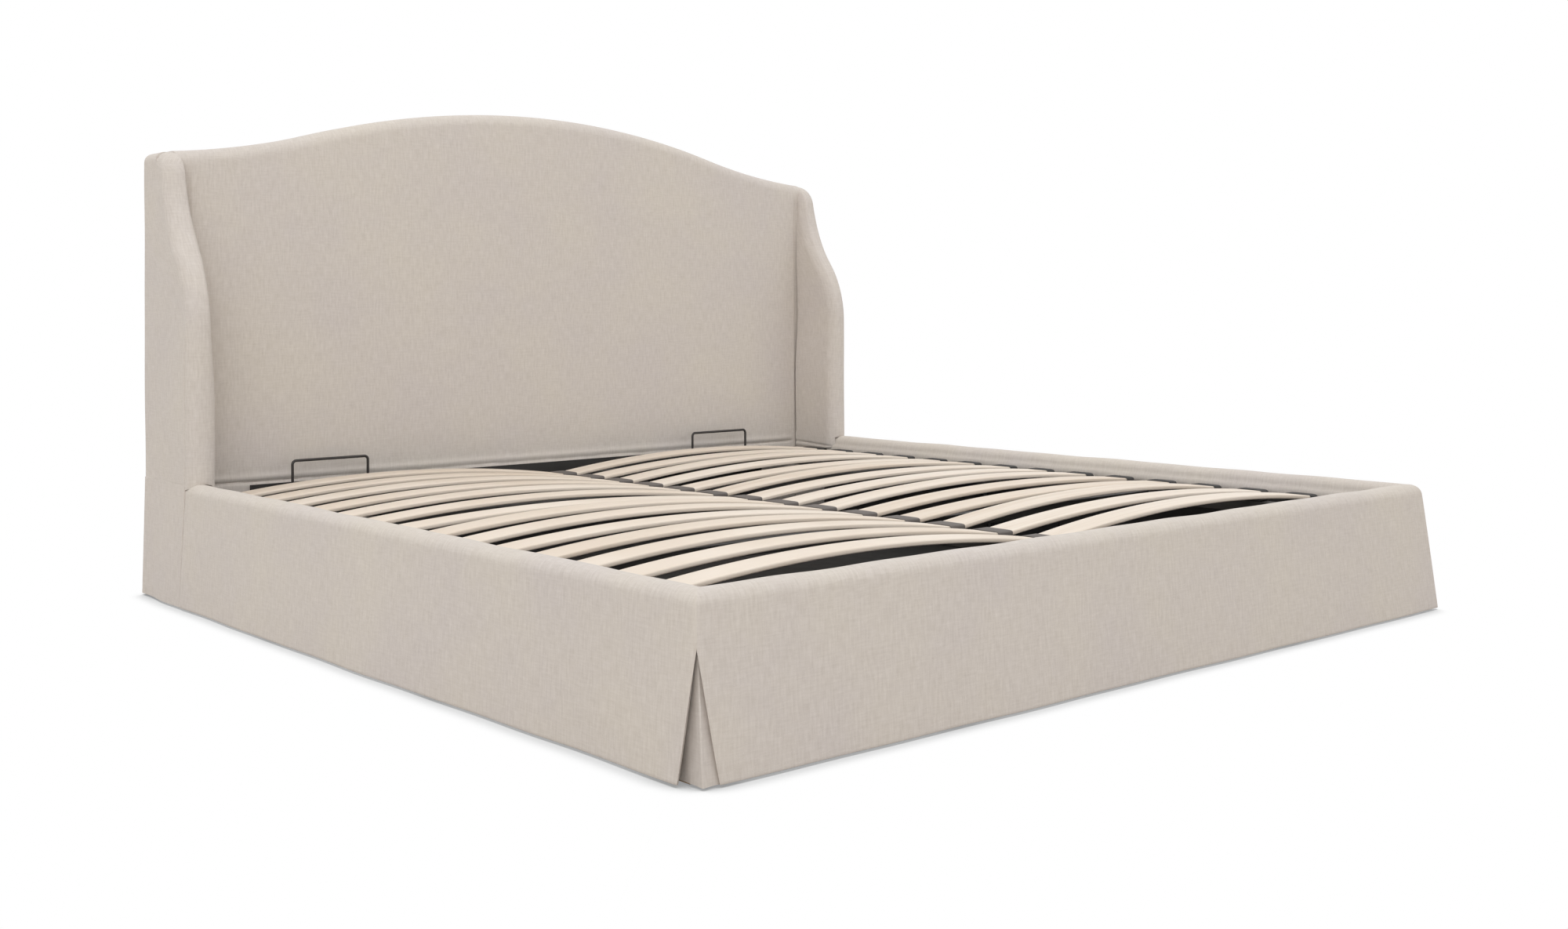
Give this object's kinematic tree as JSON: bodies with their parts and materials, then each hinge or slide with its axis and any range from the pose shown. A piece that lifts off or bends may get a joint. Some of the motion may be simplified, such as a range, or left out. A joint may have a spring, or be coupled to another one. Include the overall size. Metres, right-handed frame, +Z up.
{
  "type": "upholstered storage bed",
  "caption": "Slip-covered double storage bed with a winged camelback headboard and a sprung slat platform that lifts at the foot on arms and gas struts.",
  "frame": {"origin": "centre of the bed's footprint, on the floor", "axes": "+X to the right seen from the foot, +Y towards the headboard, +Z up"},
  "size_m": [2.148, 2.25, 1.253],
  "materials": {
    "beige_linen": "matte woven linen",
    "timber": "raw timber and board",
    "black_lining": "black lined board",
    "zinc_steel": "zinc plated",
    "black_steel": "black powder coat",
    "strut_black": "satin black",
    "strut_rod": "polished rod",
    "frame_steel": "black powder coat",
    "slat_wood": "pale birch veneer",
    "side_holder": "black rubber",
    "centre_holder": "grey brown rubber",
    "retainer_wire": "satin grey",
    "rest_rubber": "black rubber",
    "glide_nylon": "white nylon"
  },
  "bodies": {
    "base": {"headboard_pad": "beige_linen", "headboard_back": "beige_linen", "wing_pad_l": "beige_linen", "wing_pad_r": "beige_linen", "side_cover_l": "beige_linen", "side_cover_r": "beige_linen", "foot_cover": "beige_linen", "corner_pleat_l": "beige_linen", "corner_pleat_r": "beige_linen", "headboard_board": "timber", "wing_board_l": "timber", "wing_board_r": "timber", "side_rail_l": "timber", "side_rail_r": "timber", "foot_rail": "timber", "base_bearers": "timber", "feet": "timber", "platform_rest_l": "timber", "platform_rest_r": "timber", "side_lining_l": "black_lining", "side_lining_r": "black_lining", "head_lining": "black_lining", "foot_lining": "black_lining", "base_panel_l": "black_lining", "base_panel_r": "black_lining", "corner_bracket_l": "zinc_steel", "corner_bracket_r": "zinc_steel", "rail_plate_l": "zinc_steel", "rail_plate_r": "zinc_steel", "frame_bolts": "zinc_steel", "lift_bolts": "zinc_steel", "lift_plate_l": "black_steel", "lift_plate_r": "black_steel", "slide_channel_l": "black_steel", "slide_channel_r": "black_steel", "rest_pads": "rest_rubber"},
    "lift_arms": {"lift_arm_l": "black_steel", "lift_arm_r": "black_steel"},
    "platform": {"side_tube_l": "frame_steel", "side_tube_r": "frame_steel", "head_tube": "frame_steel", "foot_tube": "frame_steel", "centre_tube": "frame_steel", "cross_tubes": "frame_steel", "platform_pivot_l": "frame_steel", "platform_pivot_r": "frame_steel", "glide_bracket_l": "frame_steel", "glide_bracket_r": "frame_steel", "slats_l": "slat_wood", "slats_r": "slat_wood", "side_holders_l": "side_holder", "side_holders_r": "side_holder", "centre_holders": "centre_holder", "retainer_l": "retainer_wire", "retainer_r": "retainer_wire", "glide_bushes": "glide_nylon"},
    "strut_cylinders": {"strut_cylinder_l": "strut_black", "strut_cylinder_r": "strut_black"},
    "strut_rods": {"strut_rod_l": "strut_rod", "strut_rod_r": "strut_rod"}
  },
  "joints": [
    {"name": "lift_arm_swing", "type": "hinge", "parent": "base", "child": "lift_arms", "pos_m": [0, -0.0404, 0.1761], "axis": [1, 0, 0], "range_deg": [0, 36]},
    {"name": "platform_tilt", "type": "hinge", "parent": "lift_arms", "child": "platform", "pos_m": [0, 0.3773, 0.22], "axis": [-1, 0, 0], "range_deg": [0, 72]},
    {"name": "strut_cylinder_swing", "type": "hinge", "parent": "base", "child": "strut_cylinders", "pos_m": [0, 0.13839, 0.0462], "axis": [1, 0, 0], "range_deg": [0, 18]},
    {"name": "strut_rod_swing", "type": "hinge", "parent": "lift_arms", "child": "strut_rods", "pos_m": [0, 0.17404, 0.22956], "axis": [-1, 0, 0], "range_deg": [0, 18]}
  ],
  "couplings": [
    {"joint": "platform_tilt", "follows": "lift_arm_swing", "ratio": 2},
    {"joint": "strut_cylinder_swing", "follows": "lift_arm_swing", "ratio": 0.5},
    {"joint": "strut_rod_swing", "follows": "lift_arm_swing", "ratio": 0.5}
  ]
}
